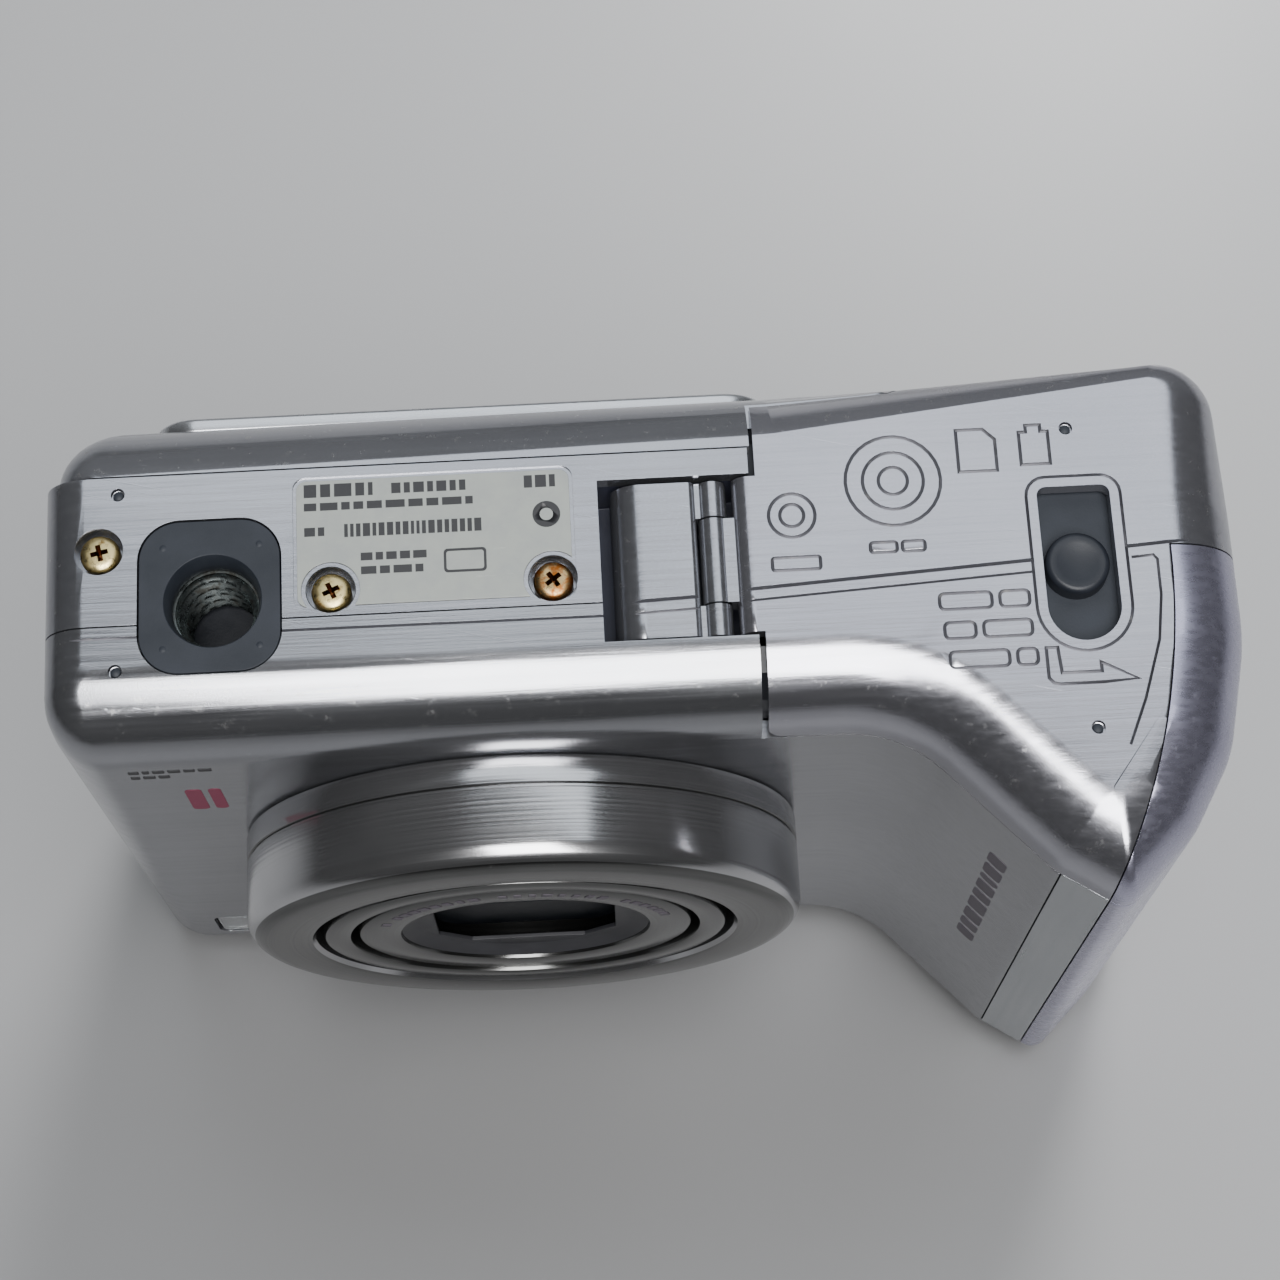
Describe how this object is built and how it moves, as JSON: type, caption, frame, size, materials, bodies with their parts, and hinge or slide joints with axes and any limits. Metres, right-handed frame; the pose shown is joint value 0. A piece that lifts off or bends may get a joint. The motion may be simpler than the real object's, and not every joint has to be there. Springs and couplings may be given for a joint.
{
  "type": "compact digital camera",
  "caption": "Compact digital camera with battery grip, retracting zoom lens, hinged battery and card door, rear screen and working controls, lying on its top cover.",
  "frame": {"origin": "centre of the bounding box on the plane that the top cover rests on: the camera lies upside down, as it was found", "axes": "+X towards the grip side, -Y out of the lens, +Y out of the rear screen, +Z out of the camera's base with the tripod socket"},
  "size_m": [0.0904, 0.0432, 0.064],
  "materials": {
    "silver_paint": "fine metallic silver paint, faintly brushed, worn bright along edges",
    "satin_silver": "satin bright silver, finely turned on round parts",
    "violet_paint": "violet grey metallic paint",
    "dark_plastic": "moulded dark grey plastic",
    "slate_plastic": "fine textured slate grey plastic",
    "label_film": null,
    "brass_plate": "yellow passivated screw, slightly tarnished",
    "bright_metal": "bright nickel plated",
    "clear_plastic": "clear coated optical plastic and glass",
    "cell_sleeve": "plain printed sleeve, no marks",
    "circuit_green": "solder mask over copper"
  },
  "bodies": {
    "camera_body": {"base_chassis": "bright_metal", "base_screw_1": "brass_plate", "base_screw_2": "brass_plate", "base_screw_3": "brass_plate", "battery_front": "cell_sleeve", "battery_holder": "dark_plastic", "battery_rear": "cell_sleeve", "card_slot": "bright_metal", "finder_eyepiece": "clear_plastic", "finder_tunnel": "dark_plastic", "finder_window": "clear_plastic", "flash_capacitor": "dark_plastic", "flash_reflector": "bright_metal", "flash_window": "clear_plastic", "focus_lamp": "clear_plastic", "front_cover": "silver_paint", "grip_strip": "satin_silver", "hinge_well": "dark_plastic", "image_sensor": "dark_plastic", "lens_housing": "dark_plastic", "lens_ring": "satin_silver", "main_board": "circuit_green", "memory_card": "dark_plastic", "middle_frame": "silver_paint", "rating_label": "label_film", "rear_cover": "silver_paint", "screen_frame": "satin_silver", "screen_panel": "dark_plastic", "screen_window": "clear_plastic", "side_panel": "violet_paint", "strap_lug": "bright_metal", "terminal_block": "dark_plastic", "top_cover": "silver_paint", "tripod_bush": "bright_metal", "tripod_plate": "slate_plastic", "zoom_motor": "bright_metal"},
    "door_carriage": {"hinge_arm": "silver_paint", "hinge_pin": "bright_metal"},
    "door": {"battery_door": "silver_paint", "door_side_trim": "violet_paint", "door_contact": "bright_metal"},
    "latch": {"door_latch": "slate_plastic"},
    "lens_stage_one": {"outer_barrel": "satin_silver", "rear_lens": "clear_plastic"},
    "lens_stage_two": {"inner_barrel": "satin_silver", "front_lens": "clear_plastic"},
    "base_side_barrier": {"base_side_blade": "dark_plastic"},
    "top_side_barrier": {"top_side_blade": "dark_plastic"},
    "dial": {"mode_dial": "dark_plastic"},
    "zoom_ring": {"zoom_lever": "satin_silver"},
    "shutter_key": {"shutter_button": "satin_silver"},
    "power_key": {"power_button": "satin_silver"},
    "pad_link": {"pad_gimbal": "dark_plastic"},
    "pad": {"direction_pad": "satin_silver"},
    "set_key": {"set_button": "satin_silver"},
    "menu_key": {"menu_button": "satin_silver"},
    "display_key": {"display_button": "satin_silver"},
    "print_key": {"print_button": "satin_silver"},
    "playback_slider": {"playback_switch": "satin_silver"},
    "terminal_flap": {"terminal_cover": "dark_plastic"}
  },
  "joints": [
    {"name": "door_slide", "type": "slide", "parent": "camera_body", "child": "door_carriage", "axis": [1, 0, 0], "range_m": [0, 0.0035]},
    {"name": "door_hinge", "type": "hinge", "parent": "door_carriage", "child": "door", "pos_m": [0.0054, 0, 0.0624], "axis": [0, -1, 0], "range_deg": [0, 95]},
    {"name": "latch_slide", "type": "slide", "parent": "door", "child": "latch", "axis": [0, -1, 0], "range_m": [0, 0.003], "stiffness_N_per_m": 120},
    {"name": "lens_extend", "type": "slide", "parent": "camera_body", "child": "lens_stage_one", "axis": [0, -1, 0], "range_m": [0, 0.009]},
    {"name": "lens_inner_extend", "type": "slide", "parent": "lens_stage_one", "child": "lens_stage_two", "axis": [0, -1, 0], "range_m": [0, 0.0082]},
    {"name": "base_side_barrier_slide", "type": "slide", "parent": "lens_stage_two", "child": "base_side_barrier", "axis": [0, 0, 1], "range_m": [0, 0.0038]},
    {"name": "top_side_barrier_slide", "type": "slide", "parent": "lens_stage_two", "child": "top_side_barrier", "axis": [0, 0, -1], "range_m": [0, 0.0038]},
    {"name": "mode_dial_turn", "type": "hinge", "parent": "camera_body", "child": "dial", "pos_m": [0.008, 0.0064, 0.00025], "axis": [0, 0, 1], "range_deg": [-108, 216]},
    {"name": "zoom_lever_turn", "type": "hinge", "parent": "camera_body", "child": "zoom_ring", "pos_m": [0.0296, -0.0054, 0.0003], "axis": [0, 0, 1], "range_deg": [-15, 15], "stiffness_Nm_per_rad": 0.01},
    {"name": "shutter_press", "type": "slide", "parent": "camera_body", "child": "shutter_key", "axis": [0, 0, 1], "range_m": [0, 0.0012], "stiffness_N_per_m": 180},
    {"name": "power_press", "type": "slide", "parent": "camera_body", "child": "power_key", "axis": [0, 0, 1], "range_m": [0, 0.0008], "stiffness_N_per_m": 180},
    {"name": "pad_tilt_up_down", "type": "hinge", "parent": "camera_body", "child": "pad_link", "pos_m": [0.031, 0.0191, 0.033], "axis": [1, 0, 0], "range_deg": [-3, 3], "stiffness_Nm_per_rad": 0.05},
    {"name": "pad_tilt_left_right", "type": "hinge", "parent": "pad_link", "child": "pad", "pos_m": [0.031, 0.0191, 0.033], "axis": [0, 0, 1], "range_deg": [-3, 3], "stiffness_Nm_per_rad": 0.05},
    {"name": "set_press", "type": "slide", "parent": "camera_body", "child": "set_key", "axis": [0, -1, 0], "range_m": [0, 0.0008], "stiffness_N_per_m": 180},
    {"name": "menu_press", "type": "slide", "parent": "camera_body", "child": "menu_key", "axis": [0, -1, 0], "range_m": [0, 0.0007], "stiffness_N_per_m": 180},
    {"name": "display_press", "type": "slide", "parent": "camera_body", "child": "display_key", "axis": [0, -1, 0], "range_m": [0, 0.0007], "stiffness_N_per_m": 180},
    {"name": "print_press", "type": "slide", "parent": "camera_body", "child": "print_key", "axis": [0, -1, 0], "range_m": [0, 0.0007], "stiffness_N_per_m": 180},
    {"name": "playback_slide", "type": "slide", "parent": "camera_body", "child": "playback_slider", "axis": [1, 0, 0], "range_m": [0, 0.003]},
    {"name": "terminal_flap_turn", "type": "hinge", "parent": "camera_body", "child": "terminal_flap", "pos_m": [-0.0449, 0.0117, 0.022], "axis": [0, 0, -1], "range_deg": [0, 110]}
  ],
  "couplings": [
    {"joint": "lens_inner_extend", "follows": "lens_extend", "ratio": 0.9},
    {"joint": "base_side_barrier_slide", "follows": "lens_extend", "ratio": 0.42},
    {"joint": "top_side_barrier_slide", "follows": "lens_extend", "ratio": 0.42}
  ]
}
